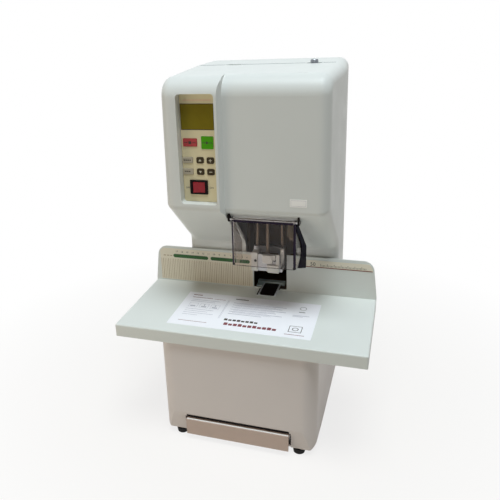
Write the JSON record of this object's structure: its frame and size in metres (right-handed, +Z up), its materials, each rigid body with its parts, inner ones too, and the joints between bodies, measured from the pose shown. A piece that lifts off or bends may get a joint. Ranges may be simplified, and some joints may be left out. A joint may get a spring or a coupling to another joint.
{
  "type": "document riveting machine",
  "caption": "Desktop voucher binding machine that drills a paper stack on a worktable with a fence and rivets it with a plastic tube.",
  "frame": {"origin": "on the floor under the middle of the machine", "axes": "+X to the operator's right, +Y to the back, +Z up"},
  "size_m": [0.39, 0.323, 0.5772],
  "materials": {
    "housing": "moulded, satin, cool white",
    "base": "moulded, satin, warm light grey",
    "table": "powder coat, light grey",
    "steel": "plain steel",
    "dark_steel": "dark painted steel",
    "aluminium": "milled",
    "chrome": "polished",
    "brass": "turned",
    "black_plastic": "moulded black",
    "rubber": "black",
    "guard": "smoke-tinted clear acrylic",
    "membrane": "printed membrane, cream",
    "lcd": "dark olive display window",
    "key_red": "printed red",
    "key_green": "printed green",
    "key_grey": "printed grey",
    "key_black": "printed black",
    "rocker_red": "clear red rocker",
    "film_cream": "printed film, cream",
    "paper_white": "printed sheet, white",
    "board": "circuit board",
    "belt": "flat belt"
  },
  "bodies": {
    "machine": {"base_housing": "base", "base_plate": "steel", "column_frame": "dark_steel", "control_board": "board", "control_panel": "membrane", "drawer_runners": "steel", "feed_motor": "dark_steel", "fence_scale": "film_cream", "front_housing": "housing", "guide_rods": "chrome", "hinge_ears": "black_plastic", "hinge_pins": "steel", "instruction_plate": "paper_white", "lcd_window": "lcd", "limit_strip": "film_cream", "lower_anvil": "brass", "lower_arm": "dark_steel", "lower_bearing_plate": "aluminium", "mains_inlet": "black_plastic", "pad_bridge": "aluminium", "pad_rails": "chrome", "panel_tray": "housing", "rear_housing": "housing", "rubber_feet": "rubber", "switch_frame": "black_plastic", "table_beams": "steel", "transformer": "dark_steel", "tube_guide": "brass", "tube_inlet": "chrome", "upper_bearing_plate": "aluminium", "worktable": "table"},
    "guard": {"safety_guard": "guard", "guard_arm": "black_plastic"},
    "drawer": {"drawer_front": "base", "drawer_tray": "steel"},
    "rocker": {"power_rocker": "rocker_red"},
    "presser": {"press_foot": "steel", "press_blocks": "housing", "press_rods": "chrome"},
    "carriage": {"drill_carriage": "aluminium", "guide_bushes": "brass", "drill_motor": "dark_steel", "drive_belt": "belt"},
    "spindle": {"spindle": "steel", "drill_bit": "steel", "spindle_pulley": "aluminium"},
    "motor_shaft": {"motor_pulley": "aluminium"},
    "screw": {"lead_screw": "steel"},
    "ram": {"rivet_ram": "steel", "heater_sleeve": "brass"},
    "pad": {"pad_slide": "black_plastic", "drill_pad": "black_plastic"},
    "stop_key": {"stop_key": "key_red"},
    "start_key": {"start_key": "key_green"},
    "function_key_1": {"function_key_1": "key_grey"},
    "function_key_2": {"function_key_2": "key_grey"},
    "menu_key_1": {"menu_key_1": "key_black"},
    "menu_key_2": {"menu_key_2": "key_black"},
    "menu_key_3": {"menu_key_3": "key_black"},
    "menu_key_4": {"menu_key_4": "key_black"}
  },
  "joints": [
    {"name": "guard_hinge", "type": "hinge", "parent": "machine", "child": "guard", "pos_m": [0.026, -0.068, 0.3555], "axis": [1, 0, 0], "range_deg": [-80, 0]},
    {"name": "drawer_slide", "type": "slide", "parent": "machine", "child": "drawer", "axis": [0, -1, 0], "range_m": [0, 0.12]},
    {"name": "rocker_tilt", "type": "hinge", "parent": "machine", "child": "rocker", "pos_m": [-0.071, -0.0745, 0.4067], "axis": [0, 0, 1], "range_deg": [-18, 0]},
    {"name": "presser_slide", "type": "slide", "parent": "machine", "child": "presser", "axis": [0, 0, 1], "range_m": [-0.0427, 0.005]},
    {"name": "drill_feed", "type": "slide", "parent": "machine", "child": "carriage", "axis": [0, 0, -1], "range_m": [0, 0.0532]},
    {"name": "drill_spin", "type": "hinge", "parent": "carriage", "child": "spindle", "pos_m": [0.017, 0.0025, 0.45], "axis": [0, 0, 1], "continuous": true},
    {"name": "motor_spin", "type": "hinge", "parent": "carriage", "child": "motor_shaft", "pos_m": [0.017, 0.0685, 0.47], "axis": [0, 0, 1], "continuous": true},
    {"name": "screw_spin", "type": "hinge", "parent": "machine", "child": "screw", "pos_m": [0.017, 0.0365, 0.45], "axis": [0, 0, 1], "range_deg": [0, 1198]},
    {"name": "ram_slide", "type": "slide", "parent": "machine", "child": "ram", "axis": [0, 0, -1], "range_m": [0, 0.092]},
    {"name": "pad_pull", "type": "slide", "parent": "machine", "child": "pad", "axis": [0, -1, 0], "range_m": [0, 0.03]},
    {"name": "stop_key_press", "type": "slide", "parent": "machine", "child": "stop_key", "axis": [0, 1, 0], "range_m": [0, 0.0006], "stiffness_N_per_m": 800},
    {"name": "start_key_press", "type": "slide", "parent": "machine", "child": "start_key", "axis": [0, 1, 0], "range_m": [0, 0.0006], "stiffness_N_per_m": 800},
    {"name": "function_key_1_press", "type": "slide", "parent": "machine", "child": "function_key_1", "axis": [0, 1, 0], "range_m": [0, 0.0006], "stiffness_N_per_m": 800},
    {"name": "function_key_2_press", "type": "slide", "parent": "machine", "child": "function_key_2", "axis": [0, 1, 0], "range_m": [0, 0.0006], "stiffness_N_per_m": 800},
    {"name": "menu_key_1_press", "type": "slide", "parent": "machine", "child": "menu_key_1", "axis": [0, 1, 0], "range_m": [0, 0.0006], "stiffness_N_per_m": 800},
    {"name": "menu_key_2_press", "type": "slide", "parent": "machine", "child": "menu_key_2", "axis": [0, 1, 0], "range_m": [0, 0.0006], "stiffness_N_per_m": 800},
    {"name": "menu_key_3_press", "type": "slide", "parent": "machine", "child": "menu_key_3", "axis": [0, 1, 0], "range_m": [0, 0.0006], "stiffness_N_per_m": 800},
    {"name": "menu_key_4_press", "type": "slide", "parent": "machine", "child": "menu_key_4", "axis": [0, 1, 0], "range_m": [0, 0.0006], "stiffness_N_per_m": 800}
  ],
  "couplings": [
    {"joint": "screw_spin", "follows": "drill_feed", "rad_per_m": 392.7},
    {"joint": "motor_spin", "follows": "drill_spin", "ratio": 2.25}
  ]
}
